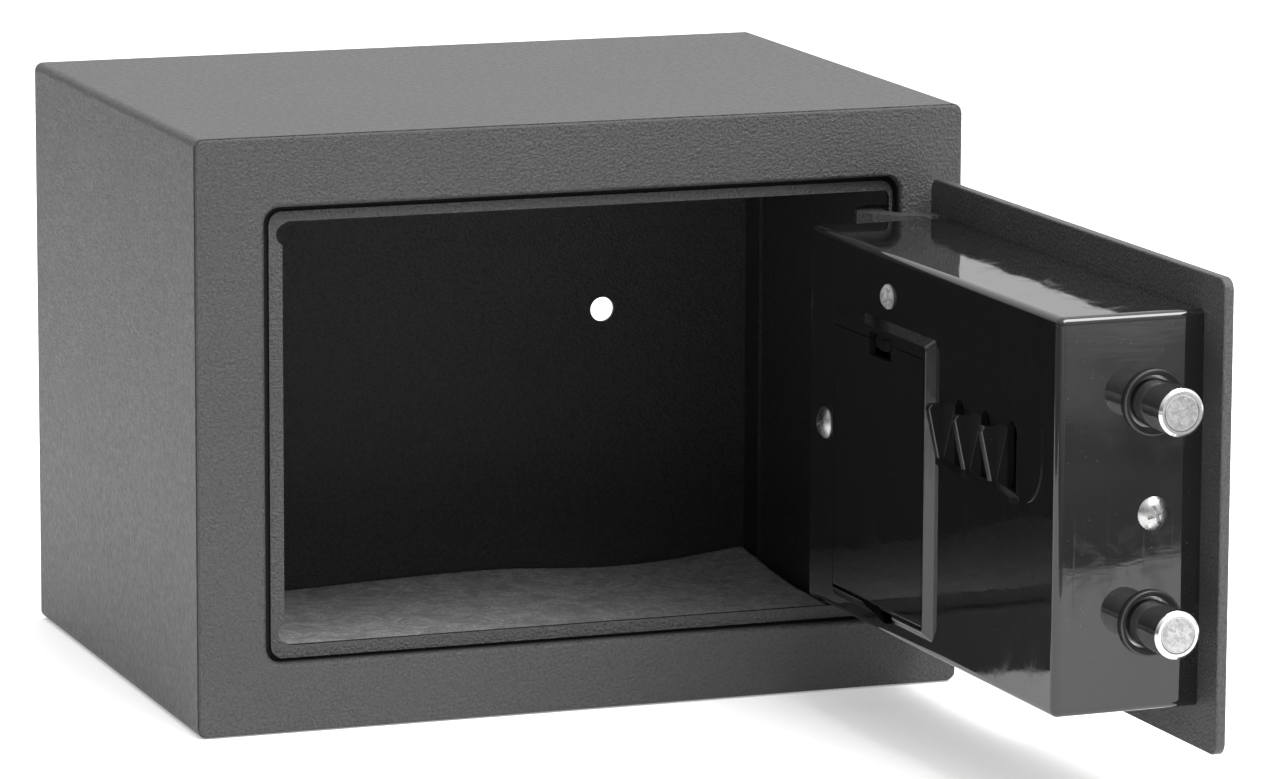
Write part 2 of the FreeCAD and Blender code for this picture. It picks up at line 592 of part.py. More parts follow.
def lock_rivet():
    """Shouldered rivet on the door plate that the keyhole cap turns on."""
    shank = rod(1.5, V(LOCK_X, FRONT - 4.2, LOCK_Z + 14.5), Y, 4.2)
    foot = rod(3.0, V(LOCK_X, FRONT - 1.6, LOCK_Z + 14.5), Y, 1.6)
    head = rod(2.8, V(LOCK_X, FRONT - 5.0, LOCK_Z + 14.5), Y, 0.9)
    return fuse([shank, foot, head])


# ---- keypad ----------------------------------------------------------------------------------------------
def key_place(row, column):
    return PAD_X + (column - 1) * KEY_PITCH_X, KEY_TOP_Z + 8.0 - row * KEY_PITCH_Z


def keypad_housing():
    """Moulded keypad case: key wells and lamp holes in front, hollow behind."""
    face = FRONT - PAD_D
    case = rounded(PAD_X - PAD_W / 2, PAD_X + PAD_W / 2, face, FRONT, PAD_Z - PAD_H / 2,
                   PAD_Z + PAD_H / 2, 8.0)
    case = case.makeFillet(3.0, edges_at(case, Y, face))
    hollow = box(PAD_X - PAD_W / 2 + 3, PAD_X + PAD_W / 2 - 3, FRONT - 5.0, FRONT + 1,
                 PAD_Z - PAD_H / 2 + 3, PAD_Z + PAD_H / 2 - 3)
    case = case.cut(hollow)
    for row in range(len(KEY_ROWS)):
        for column in range(3):
            x, z = key_place(row, column)
            well = rounded(x - KEY_W / 2 - KEY_GAP, x + KEY_W / 2 + KEY_GAP, face - 1, face + 5.8,
                           z - KEY_H / 2 - KEY_GAP, z + KEY_H / 2 + KEY_GAP, 1.6)
            case = case.cut(well)
    for column in range(3):
        case = case.cut(rod(2.5, V(PAD_X + (column - 1) * 12.0, face - 1, lamp_z()), Y, 4))
    return case


def lamp_z():
    return PAD_Z + PAD_H / 2 - 13.0


def keypad_lamps():
    """Three domed lamp lenses in a row above the keys."""
    lenses = []
    for column in range(3):
        x = PAD_X + (column - 1) * 12.0
        lens = rod(2.4, V(x, FRONT - PAD_D, lamp_z()), Y, 2.9)
        dome = Part.makeSphere(3.2, V(x, FRONT - PAD_D + 2.0, lamp_z())).common(
            rod(2.4, V(x, FRONT - PAD_D - 2.0, lamp_z()), Y, 2.2))
        lenses.append(fuse([lens, dome]))
    return Part.makeCompound(lenses)


def key_cap(row, column):
    x, z = key_place(row, column)
    face = FRONT - PAD_D - KEY_PROUD
    cap = rounded(x - KEY_W / 2, x + KEY_W / 2, face, face + KEY_L, z - KEY_H / 2, z + KEY_H / 2, 1.3)
    return cap.makeFillet(0.7, edges_at(cap, Y, face))


# ---- writing -----------------------------------------------------------------------------------------------
def cabinet_parts():
    parts = {"body_shell": body_shell(), "back_panel": back_panel(), "front_frame": front_frame(),
             "felt_mat": felt_mat()}
    for place, top in (("upper", ARM_TOP_UPPER), ("lower", ARM_TOP_LOWER)):
        parts["hinge_bracket_" + place] = hinge_bracket(top)
        parts["hinge_pin_" + place] = hinge_pin(top)
    return parts


def door_parts():
    side_seat = V(70.8, depth(COVER_D), 84.7)
    end_seat = V(-COVER_X, depth(14.0), 85.6)
    parts = {
        "door_plate": door_plate(),
        "hinge_arm_upper": hinge_arm(ARM_TOP_UPPER, ARM_TOP_UPPER - 14, ARM_TOP_UPPER),
        "hinge_arm_lower": hinge_arm(ARM_TOP_LOWER, ARM_TOP_LOWER - ARM_T, ARM_TOP_LOWER + 10.5),
        "inner_cover": inner_cover(),
        "cover_screw_side": pan_screw(side_seat, V(0, -1, 0), 10.0),
        "cover_screw_end": pan_screw(end_seat, V(1, 0, 0), 6.0),
        "bolt_guide": bolt_guide(),
        "bolt_crossbar": bolt_crossbar(),
        "bolt_link": bolt_link(),
        "link_stop": link_stop(),
        "battery_tray": battery_tray(),
        "battery_contacts": battery_contacts(),
        "battery_lid": battery_lid(),
        "lid_latch": lid_latch(),
        "reset_button": reset_button(),
        "reset_switch": reset_switch(),
        "screw_post": screw_post(),
        "circuit_board": circuit_board(),
        "solenoid_frame": solenoid_frame(),
        "solenoid_coil": solenoid_coil(),
        "solenoid_plunger": solenoid_plunger(),
        "knob": knob(),
        "knob_ring": knob_ring(),
        "knob_spindle": knob_spindle(),
        "lock_cylinder": lock_cylinder(),
        "lock_plug": lock_plug(),
        "lock_cam": lock_cam(),
        "lock_cover": lock_cover(),
        "lock_rivet": lock_rivet(),
        "keypad_housing": keypad_housing(),
        "keypad_lamps": keypad_lamps(),
    }
    for place, z in BOLT_ZS.items():
        parts["bolt_" + place] = bolt(z)
        parts["bolt_collar_" + place] = bolt_collar(z)
    for index in range(4):
        parts["battery_cell_%d" % (index + 1)] = battery_cell(index)
    for row, names in enumerate(KEY_ROWS):
        for column, name in enumerate(names):
            parts["key_" + name] = key_cap(row, column)
    return {name: swing(shape) for name, shape in parts.items()}


def main():
    os.makedirs("parts", exist_ok=True)
    for name, shape in {**cabinet_parts(), **door_parts()}.items():
        shape.exportStep("parts/" + name + ".step")


main()
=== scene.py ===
"""Looks of the small room safe: materials, felt, markings, floor, light and camera.

Metres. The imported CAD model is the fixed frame; every piece made here rides on one of its bodies.
"""

import json
import math
import random

import bmesh
import bpy
from mathutils import Matrix, Quaternion, Vector, noise


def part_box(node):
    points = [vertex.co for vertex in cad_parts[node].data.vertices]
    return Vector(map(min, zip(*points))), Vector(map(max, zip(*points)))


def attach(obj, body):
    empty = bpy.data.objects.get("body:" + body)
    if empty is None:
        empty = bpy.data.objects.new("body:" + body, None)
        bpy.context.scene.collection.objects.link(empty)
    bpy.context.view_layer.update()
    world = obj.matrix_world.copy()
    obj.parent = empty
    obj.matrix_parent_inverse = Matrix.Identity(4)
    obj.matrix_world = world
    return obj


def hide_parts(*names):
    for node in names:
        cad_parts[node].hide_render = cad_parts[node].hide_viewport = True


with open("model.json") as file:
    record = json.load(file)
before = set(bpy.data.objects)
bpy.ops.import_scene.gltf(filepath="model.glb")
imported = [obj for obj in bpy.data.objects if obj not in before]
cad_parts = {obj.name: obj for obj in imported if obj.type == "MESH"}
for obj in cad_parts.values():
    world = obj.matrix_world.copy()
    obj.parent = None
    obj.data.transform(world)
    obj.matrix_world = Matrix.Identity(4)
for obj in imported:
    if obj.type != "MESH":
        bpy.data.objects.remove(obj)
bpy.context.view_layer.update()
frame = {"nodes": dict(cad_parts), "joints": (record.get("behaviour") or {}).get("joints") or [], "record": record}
nodes = frame["nodes"]
MM = 0.001

# ---- view --------------------------------------------------------------------------------------
AIM = Vector((0.0227, -0.0675, 0.0889))
VIEW_AZIMUTH, VIEW_ELEVATION, VIEW_ROLL = 20.05, 10.43, 0.24
VIEW_DISTANCE = 1.9525
LENS = 190.9

# ---- the door stands open: its own directions at rest, from the hinge joint --------------------
hinge = next(j for j in frame["joints"] if j["name"] == "door_swing")
OPEN_ANGLE = -math.radians(hinge["range_deg"][0])
OUTWARD = Matrix.Rotation(OPEN_ANGLE, 3, "Z") @ Vector((0, -1, 0))     # away from the plate's front
ALONG = Matrix.Rotation(OPEN_ANGLE, 3, "Z") @ Vector((1, 0, 0))        # towards the hinges
UP = Vector((0, 0, 1))

# ---- the front sheet: its face, and the band between the recess's painted shade line and the opening ----
SHEET_FRONT = -85 * MM
BAND_MID, BAND_HALF = Vector((0.9, 0, 84.65)) * MM, Vector((93.7, 0, 63.75)) * MM
PAINTED_SHADE_FROM, PAINTED_SHADE_TO = 1.9 * MM, 2.7 * MM       # depths in the sheet where the painted shade on the recess's walls comes in
CUT_EDGE = 3.55 * MM                          # depth at which the opening's cut edge starts, painted shade from there inwards

# ---- the stage ---------------------------------------------------------------------------------
SKY_LEVEL, SKY_LEAST = 0.5, 0.22              # brightness at the horizon, and the least anywhere
SKY_RISE, SKY_LEAN = 1.6, 0.48                # gain towards the zenith and towards the right
FLOOR_GREY, FLOOR_GLOW = 0.80, 0.28
FLOOR_HALF = 12
TABLE_X, TABLE_Y = -0.42, -0.56               # the brightly lit part of the floor ends here
FAR_REACH, FAR_RISE = 3.0, 0.0008             # how far the dim part goes, and its height
EDGE_GLOW, FAR_GLOW = 0.32, 1.25              # the dim part's glow beside the table, and far off
CLUTTER = 0.16
KEY_PLACE, KEY_AIM = (0.55, -1.1, 1.7), (0.0, -0.15, 0.05)
KEY_SIZE, KEY_WATTS = (1.4, 1.0), 60


# ---- node helpers ------------------------------------------------------------------------------
class Surface:
    """One material, with short calls for the texture nodes that the finishes are made of."""

    def __init__(self, name, roughness, metallic=0.0, **constants):
        self.material = bpy.data.materials.new(name)
        self.material.use_nodes = True
        self.tree = self.material.node_tree
        self.shader = next(n for n in self.tree.nodes if n.type == "BSDF_PRINCIPLED")
        self.shader.inputs["Roughness"].default_value = roughness
        self.shader.inputs["Metallic"].default_value = metallic
        for socket, value in constants.items():
            self.shader.inputs[socket.replace("_", " ")].default_value = value
        self.place = self.add("TexCoord").outputs["Object"]

    def add(self, kind, **settings):
        node = self.tree.nodes.new("ShaderNode" + kind)
        for name, value in settings.items():
            setattr(node, name, value)
        return node

    def link(self, source, target):
        self.tree.links.new(source, target)

    def feed(self, node, socket, value):
        """Link an output to an input, or set the input's own value."""
        if isinstance(value, bpy.types.NodeSocket):
            self.link(value, node.inputs[socket])
        else:
            node.inputs[socket].default_value = value

    def stretched(self, x, y, z):
        """Object coordinates scaled by a factor along each axis."""
        node = self.add("Mapping")
        self.link(self.place, node.inputs["Vector"])
        node.inputs["Scale"].default_value = (x, y, z)
        return node.outputs["Vector"]

    def noise(self, size, detail=2.0, rough=0.5, place=None, distortion=0.0):
        """Soft noise with features of about this size in metres."""
        node = self.add("TexNoise")
        self.link(place or self.place, node.inputs["Vector"])
        for socket, value in (("Scale", 1 / size), ("Detail", detail), ("Roughness", rough),
                              ("Distortion", distortion)):
            node.inputs[socket].default_value = value
        return node.outputs["Fac"]

    def cells(self, size, feature="F1", place=None, randomness=1.0):
        node = self.add("TexVoronoi", feature=feature)
        self.link(place or self.place, node.inputs["Vector"])
        node.inputs["Scale"].default_value = 1 / size
        node.inputs["Randomness"].default_value = randomness
        return node.outputs["Distance"]

    def spread(self, value, low, high, to_low=0.0, to_high=1.0):
        """Map one range to another, held at its ends."""
        node = self.add("MapRange")
        self.link(value, node.inputs["Value"])
        for socket, number in (("From Min", low), ("From Max", high), ("To Min", to_low),
                               ("To Max", to_high)):
            node.inputs[socket].default_value = number
        return node.outputs["Result"]

    def maths(self, operation, a, b):
        node = self.add("Math", operation=operation)
        self.feed(node, 0, a)
        self.feed(node, 1, b)
        return node.outputs["Value"]

    def along(self, direction, origin):
        """Distance of a point from a place, along a direction."""
        node = self.add("VectorMath", operation="DOT_PRODUCT")
        self.link(self.place, node.inputs[0])
        node.inputs[1].default_value = direction
        return self.maths("SUBTRACT", node.outputs["Value"], origin.dot(direction))

    def mix(self, factor, a, b):
        """Mix of two colours, each a colour or an output."""
        node = self.add("Mix", data_type="RGBA")
        self.feed(node, "Factor", factor)
        for socket, value in (("A", a), ("B", b)):
            target = next(s for s in node.inputs if s.name == socket and s.type == "RGBA")
            if isinstance(value, bpy.types.NodeSocket):
                self.link(value, target)
            else:
                target.default_value = (*value, 1.0)
        return next(s for s in node.outputs if s.type == "RGBA")

    def colour(self, value):
        if isinstance(value, bpy.types.NodeSocket):
            self.link(value, self.shader.inputs["Base Color"])
        else:
            self.shader.inputs["Base Color"].default_value = (*value, 1.0)

    def roughness(self, value):
        self.link(value, self.shader.inputs["Roughness"])

    def bumps(self, *layers):
        """Chain of bumps, each (height, depth in metres)."""
        normal = None
        for height, depth in layers:
            node = self.add("Bump")
            self.link(height, node.inputs["Height"])
            node.inputs["Distance"].default_value = depth
            if normal:
                self.link(normal, node.inputs["Normal"])
            normal = node.outputs["Normal"]
        self.link(normal, self.shader.inputs["Normal"])


def grey(level, warm=0.0):
    return (level * (1 + warm), level, level * (1 - warm))


# ---- finishes ----------------------------------------------------------------------------------
def powder_coat(name, level, roughness=0.46, painted_recess_shade=False, relief=1.0):
    """Fine textured powder coat: close-set soft grains, with faint clouding.

    With the recess shade flag on, the coat carries painted shade: it is darker, duller and less glossy on the
    recess's walls, along their foot and on the opening's cut edge.
    """
    s = Surface(name, roughness)
    grain = s.noise(0.85 * MM, 3.0, 0.7)
    ripple = s.noise(1.7 * MM, 2.0, 0.5)
    cloud = s.noise(38 * MM, 3.0, 0.55)
    shade = s.mix(s.spread(cloud, 0.35, 0.65), grey(level * 0.94), grey(level * 1.06))
    pits = s.spread(grain, 0.36, 0.62)
    coat = s.mix(pits, grey(level * 0.45), shade)
    dull = s.spread(ripple, 0.3, 0.7, roughness - 0.05, roughness + 0.07)
    # painted shade: the recess's walls and the opening's cut edge are darkened, dulled and lose specular, standing
    # in for the shadow there
    if painted_recess_shade:
        recess_shade = recess_line(s)
        coat = s.mix(recess_shade, coat, grey(level * 0.25))
        dull = s.maths("MAXIMUM", dull, s.maths("MULTIPLY", recess_shade, 0.85))
        s.link(s.spread(recess_shade, 0.0, 1.0, 0.5, 0.12), s.shader.inputs["Specular IOR Level"])
    s.colour(coat)
    s.roughness(dull)
    s.bumps((ripple, 0.18 * relief * MM), (grain, 0.42 * relief * MM))
    return s.material


def recess_line(s):
    """Mask of the painted shade: 1 on the recess's walls, along their foot and on the opening's cut edge."""
    split = s.add("SeparateXYZ")
    s.link(s.place, split.inputs["Vector"])
    across, inward, height = (split.outputs[axis] for axis in "XYZ")
    beside = s.maths("GREATER_THAN", s.maths("ABSOLUTE", s.maths("SUBTRACT", across, BAND_MID.x), 0),
                     BAND_HALF.x)
    above = s.maths("GREATER_THAN", s.maths("ABSOLUTE", s.maths("SUBTRACT", height, BAND_MID.z), 0),
                    BAND_HALF.z)
    wall = s.maths("MULTIPLY", s.maths("MAXIMUM", beside, above),
                   s.spread(inward, SHEET_FRONT + PAINTED_SHADE_FROM, SHEET_FRONT + PAINTED_SHADE_TO))
    edge = s.maths("GREATER_THAN", inward, SHEET_FRONT + CUT_EDGE)
    return s.maths("MAXIMUM", wall, edge)


def gloss_abs(name):
    """High-gloss black moulding: a slow warp, finger smudges, hairline scuffs and dust."""
    s = Surface(name, 0.07, IOR=1.53)
    warp = s.noise(55 * MM, 1.0, 0.4)
    sink = s.noise(16 * MM, 1.5, 0.4)
    ripple = s.noise(9 * MM, 2.0, 0.5, s.stretched(1.0, 1.0, 5.0))
    smudge = s.noise(13 * MM, 4.0, 0.6, distortion=1.2)
    dust = s.cells(2.1 * MM)
    speck = s.spread(dust, 0.035, 0.06, 1.0, 0.0)
    hair = s.noise(1.0 * MM, 2.0, 0.6, s.stretched(1.0, 1.0, 0.03))
    s.colour(s.mix(speck, grey(0.0065), grey(0.12)))
    base = s.spread(smudge, 0.48, 0.74, 0.035, 0.15)
    s.roughness(s.maths("ADD", base, s.spread(hair, 0.60, 0.70, 0.0, 0.06)))
    s.bumps((warp, 0.55 * MM), (sink, 0.035 * MM), (ripple, 0.006 * MM),
            (hair, 0.0006 * MM))
    return s.material


def satin_plastic(name, level, size=0.35, roughness=0.42, relief=0.018):
    """Moulded plastic with a fine spark-eroded grain."""
    s = Surface(name, roughness)
    grain = s.noise(size * MM, 2.0, 0.6)
    wear = s.noise(9 * MM, 3.0, 0.6)
    s.colour(s.mix(s.spread(wear, 0.4, 0.7), grey(level), grey(level * 1.25)))
    s.roughness(s.spread(wear, 0.3, 0.7, roughness - 0.06, roughness + 0.08))
    s.bumps((grain, relief * MM))
    return s.material


def chrome(name):
    """Bright plating over turned steel: faint clouding and hairlines."""
    s = Surface(name, 0.09, metallic=1.0)
    cloud = s.noise(5 * MM, 3.0, 0.6)
    hair = s.noise(0.30 * MM, 3.0, 0.7)
    s.colour(s.mix(s.spread(cloud, 0.35, 0.7), grey(0.80), grey(0.62)))
    s.roughness(s.spread(cloud, 0.3, 0.75, 0.07, 0.24))
    s.bumps((hair, 0.006 * MM))
    return s.material


def bolt_chrome(node):
    """Plating on a turned bolt, whose ground end has a mottled middle inside a polished band, edged by a thin dark
    line of painted shade at its rim.
    """
    s = Surface("chrome_" + node, 0.1, metallic=1.0)
    low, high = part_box(node)
    middle = (low + high) / 2
    tip = min(low.dot(ALONG), high.dot(ALONG))
    side, rise = s.along(OUTWARD, middle), s.along(UP, middle)
    radius = s.maths("SQRT", s.maths("ADD", s.maths("MULTIPLY", side, side),
                                     s.maths("MULTIPLY", rise, rise)), 0)
    on_end = s.maths("LESS_THAN", s.along(ALONG, ALONG * tip), 0.25 * MM)
    ground = s.maths("MULTIPLY", on_end, s.spread(radius, 4.5 * MM, 4.9 * MM, 1.0, 0.0))
    # painted shade: a thin dark line round the rim of the ground end
    rim_shade = s.maths("MULTIPLY", on_end, s.spread(s.maths("ABSOLUTE", s.maths(
        "SUBTRACT", radius, 4.9 * MM), 0), 0.12 * MM, 0.22 * MM, 1.0, 0.0))
    mottle = s.noise(1.6 * MM, 4.0, 0.7, distortion=0.8)
    cloud = s.noise(5 * MM, 3.0, 0.6)
    drawn = s.noise(0.30 * MM, 2.0, 0.6, s.stretched(1.0, 0.05, 1.0))
    bright = s.mix(s.spread(cloud, 0.35, 0.7), grey(0.66), grey(0.50))
    worn = s.mix(s.spread(mottle, 0.36, 0.62), grey(0.24), grey(0.46))
    s.colour(s.mix(rim_shade, s.mix(ground, bright, worn), grey(0.22)))
    s.roughness(s.maths("ADD", s.spread(cloud, 0.3, 0.75, 0.08, 0.18),
                        s.maths("MULTIPLY", ground, 0.26)))
    s.bumps((drawn, 0.004 * MM), (s.maths("MULTIPLY", mottle, ground), 0.05 * MM),
            (s.spread(radius, 4.6 * MM, 5.0 * MM), 0.10 * MM))
    return s.material


def plated_steel(name, level=0.55, roughness=0.34, size=0.5):
    """Zinc-plated sheet, with drawn grain and a mottled bloom."""
    s = Surface(name, roughness, metallic=1.0)
    bloom = s.noise(4.5 * MM, 4.0, 0.65)
    drawn = s.noise(size * MM, 2.0, 0.6, s.stretched(1.0, 1.0, 0.06))
    s.colour(s.mix(s.spread(bloom, 0.35, 0.7), grey(level, 0.02), grey(level * 0.72, -0.02)))
    s.roughness(s.spread(drawn, 0.3, 0.7, roughness - 0.08, roughness + 0.12))
    s.bumps((drawn, 0.010 * MM))
    return s.material


def felt(name, level):
    """Needle-punched grey felt: blotches of darker and paler fibre, and a matted nap."""
    s = Surface(name, 0.95, Sheen_Weight=0.25, Sheen_Roughness=0.6)
    blotch = s.noise(7.0 * MM, 5.0, 0.75, distortion=0.8)
    tuft = s.noise(1.3 * MM, 3.0, 0.7, distortion=1.5)
    strand = s.noise(0.45 * MM, 2.0, 0.6, s.stretched(0.25, 1.0, 1.0), 2.5)
    tone = s.mix(s.spread(blotch, 0.38, 0.62), grey(level * 0.40), grey(level * 1.3))
    s.colour(s.mix(s.spread(tuft, 0.38, 0.62), grey(level * 0.42), tone))
    s.bumps((blotch, 0.7 * MM), (tuft, 0.35 * MM), (strand, 0.15 * MM))
    return s.material


def rubber(name, level):
    """Dull rubber with a torn-looking, blotched skin."""
    s = Surface(name, 0.6)
    grain = s.noise(0.5 * MM, 3.0, 0.7)
    wear = s.noise(1.6 * MM, 3.0, 0.7, distortion=0.8)
    s.colour(s.mix(s.spread(wear, 0.42, 0.6), grey(level), grey(level * 0.35)))
    s.bumps((wear, 0.25 * MM), (grain, 0.10 * MM))
    return s.material


def board_mask(name):
    """Green solder mask with a hint of tracks under it."""
    s = Surface(name, 0.3)
    tracks = s.cells(3.0 * MM, place=s.stretched(1.0, 3.0, 1.0))
    s.colour(s.mix(s.spread(tracks, 0.25, 0.32), (0.012, 0.10, 0.035), (0.02, 0.16, 0.06)))
    s.bumps((s.spread(tracks, 0.25, 0.32), 0.02 * MM))
    return s.material


def winding(name):
    """Copper wire wound round the solenoid, turn beside turn, with painted shade darkening the grooves between the
    turns.
    """
    s = Surface(name, 0.3, metallic=0.8)
    turns = s.add("TexWave", wave_type="BANDS", bands_direction="Z")
    s.link(s.place, turns.inputs["Vector"])
    turns.inputs["Scale"].default_value = 700.0
    # painted shade: the copper is darker down in the grooves between the turns
    s.colour(s.mix(turns.outputs["Fac"], (0.20, 0.06, 0.02), (0.62, 0.25, 0.09)))
    s.bumps((turns.outputs["Fac"], 0.08 * MM))
    return s.material


def cell_sleeve(name):
    """Plain shrunk sleeve on a cell, a little worn."""
    s = Surface(name, 0.22, Coat_Weight=0.5)
    wear = s.noise(3 * MM, 3.0, 0.6)
    s.colour(s.mix(s.spread(wear, 0.4, 0.7), grey(0.20), grey(0.26)))
    s.roughness(s.spread(wear, 0.3, 0.7, 0.18, 0.34))
    s.bumps((wear, 0.02 * MM))
    return s.material


def lamp_lens(name):
    """Three tinted lenses in a row: the tint goes by place along the door."""
    s = Surface(name, 0.12, Coat_Weight=0.6)
    low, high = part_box("keypad_lamps")
    split = s.add("SeparateXYZ")
    s.link(s.place, split.inputs["Vector"])
    share = s.spread(split.outputs["Y"], low.y, high.y)
    first = s.maths("GREATER_THAN", share, 1 / 3)
    last = s.maths("GREATER_THAN", share, 2 / 3)
    swirl = s.noise(0.8 * MM, 2.0, 0.5)
    tint = s.mix(last, s.mix(first, (0.02, 0.35, 0.05), (0.55, 0.33, 0.03)), (0.45, 0.02, 0.015))
    s.colour(s.mix(s.spread(swirl, 0.3, 0.7, 0.0, 0.35), tint, grey(0.35)))
    s.bumps((swirl, 0.01 * MM))
    return s.material


def paint_mark(name, level):
    """Printed ink, slightly thin in places."""
    s = Surface(name, 0.5)
    thin = s.noise(0.25 * MM, 3.0, 0.6)
    s.colour(s.mix(s.spread(thin, 0.45, 0.75), grey(level), grey(level * 0.75)))
    s.bumps((thin, 0.005 * MM))
    return s.material


FINISHES = {
    "powder_coated_steel": powder_coat("coat_cabinet", 0.042),
    "coated_hinge_steel": powder_coat("coat_hinge", 0.05, 0.4),
    "zinc_steel": plated_steel("zinc_plate"),
    "nickel_contact": plated_steel("nickel_leaf", 0.66, 0.25),
    "lock_metal": plated_steel("lock_plating", 0.42, 0.3, 0.35),
    "grey_felt": felt("felt_cloth", 0.46),
    "gloss_black_abs": gloss_abs("abs_gloss"),
    "satin_black_plastic": satin_plastic("plastic_satin", 0.016),
    "knob_plastic": satin_plastic("plastic_knob", 0.02, 0.3, 0.36),
    "tray_plastic": satin_plastic("plastic_tray", 0.02, 0.4, 0.5),
    "key_plastic": satin_plastic("plastic_keys", 0.32, 0.25, 0.38, 0.010),
    "bright_chrome": chrome("chrome_plate"),
    "cell_sleeve": cell_sleeve("cell_skin"),
    "button_rubber": rubber("rubber_grey", 0.26),
    "circuit_board": board_mask("board_mask"),
    "coil_winding": winding("copper_winding"),
    "lamp_lens": lamp_lens("lamp_tint"),
}


OWN_FINISHES = {
    # the front sheet's coat, with painted shade in the door's recess
    "front_frame": powder_coat("coat_front", 0.042, painted_recess_shade=True, relief=1.8),
    "bolt_upper": bolt_chrome("bolt_upper"),
    "bolt_lower": bolt_chrome("bolt_lower"),
    "cover_screw_side": plated_steel("screw_plating", 0.42, 0.30, 0.4),
    "cover_screw_end": plated_steel("screw_plating_end", 0.42, 0.30, 0.4),
}


def dress_nodes():
    """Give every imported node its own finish, or that of its slot in the record."""
    for row in frame["record"]["subparts"]:
        node = nodes[row["node"]]
        finish = OWN_FINISHES.get(row["node"]) or FINISHES[row["material_slot"]]
        node.data.materials.clear()
        node.data.materials.append(finish)


# ---- pieces ------------------------------------------------------------------------------------
def mesh_piece(name, mesh, material, body):
    piece = bpy.data.objects.new(name, mesh)
    bpy.context.scene.collection.objects.link(piece)
    piece.data.materials.clear()
    piece.data.materials.append(material)
    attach(piece, body)
    return piece


FELT_T = 2.2 * MM
FELT_STEP = 1.25 * MM


def felt_height(x, y, half, back, front):
    """Rise of the felt's underside above the floor: slack ripples, more of them at the back."""
    near_back = max(0.0, (y - (back - 45 * MM)) / (45 * MM))
    side = max(0.0, (x / half - 0.72) / 0.28)
    slack = noise.noise(Vector((x * 22, y * 17, 3.1)))
    long_wave = math.sin(x * 58 + 0.6) * 0.5 + math.sin(x * 113 + 2.1 + y * 20) * 0.3
    rise = 0.35 * MM * (slack + 1)
    rise += near_back ** 2 * (1.5 + 1.1 * long_wave + 1.2 * slack) * MM
    rise += side ** 2 * near_back * 2.4 * MM
    corner = max(0.0, (front + 25 * MM - y) / (25 * MM))
    rise += corner ** 2 * 0.5 * (1 + slack) * MM
    lumps = noise.noise(Vector((x * 420, y * 420, 1.3))) * 0.16
    lumps += noise.noise(Vector((x * 960, y * 960, 5.9))) * 0.10
    return max(rise + lumps * MM, 0.05 * MM)


def felt_sheet():
    """Loose sheet of felt on the cabinet's floor, cut a little unevenly."""
    low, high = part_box("felt_mat")
    floor = low.z
    half = high.x
    columns = round((high.x - low.x) / FELT_STEP)
    rows = round((high.y - low.y) / FELT_STEP)
    bm = bmesh.new()
    grid = []
    for j in range(rows + 1):
        line = []
        for i in range(columns + 1):
            x = low.x + (high.x - low.x) * i / columns
            y = low.y + (high.y - low.y) * j / rows
            edge = min(i, columns - i, j, rows - j)
            wander = 0.5 * MM * noise.noise(Vector((x * 90, y * 90, 7.7))) if edge == 0 else 0.0
            z = floor + felt_height(x, y, half, high.y, low.y)
            line.append(bm.verts.new((x + wander, y + wander, z)))
        grid.append(line)
    for j in range(rows):
        for i in range(columns):
            bm.faces.new((grid[j][i], grid[j][i + 1], grid[j + 1][i + 1], grid[j + 1][i]))
    mesh = bpy.data.meshes.new("felt_sheet")
    bm.to_mesh(mesh)
    bm.free()
    piece = mesh_piece("felt_sheet", mesh, FINISHES["grey_felt"], "cabinet")
    for polygon in mesh.polygons:
        polygon.use_smooth = True
    solid = piece.modifiers.new("thickness", "SOLIDIFY")
    solid.thickness, solid.offset = FELT_T, 1.0
    bpy.context.view_layer.objects.active = piece
    piece.select_set(True)
    bpy.ops.object.modifier_apply(modifier=solid.name)
    piece.select_set(False)
    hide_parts("felt_mat")
    return piece


def felt_fuzz(count=5200):
    """Loose fibres standing in the nap, as thin curved ribbons."""
    draw = random.Random(11)
    low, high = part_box("felt_mat")
    bm = bmesh.new()
    half_width = 0.022 * MM
    for _ in range(count):
        x = draw.uniform(low.x + 1.5 * MM, high.x - 1.5 * MM)
        y = draw.uniform(low.y + 1.5 * MM, high.y - 1.5 * MM)
        top = low.z + felt_height(x, y, high.x, high.y, low.y) + FELT_T
        turn, bend = draw.uniform(0, math.tau), draw.uniform(-1.4, 1.4)
        reach, lift = draw.uniform(0.8, 2.2) * MM, draw.uniform(0.1, 0.5) * MM
        last = None
        for step in range(4):
            t = step / 3
            angle = turn + bend * t
            centre = Vector((x + reach * t * math.cos(angle), y + reach * t * math.sin(angle),
                             top - 0.05 * MM + lift * math.sin(math.pi * t)))
            side = Vector((-math.sin(angle), math.cos(angle), 0)) * half_width
            pair = (bm.verts.new(centre - side), bm.verts.new(centre + side))
            if last:
                bm.faces.new((last[0], pair[0], pair[1], last[1]))
            last = pair
    mesh = bpy.data.meshes.new("felt_fuzz")
    bm.to_mesh(mesh)
    bm.free()
    return mesh_piece("felt_fuzz", mesh, FINISHES["grey_felt"], "cabinet")


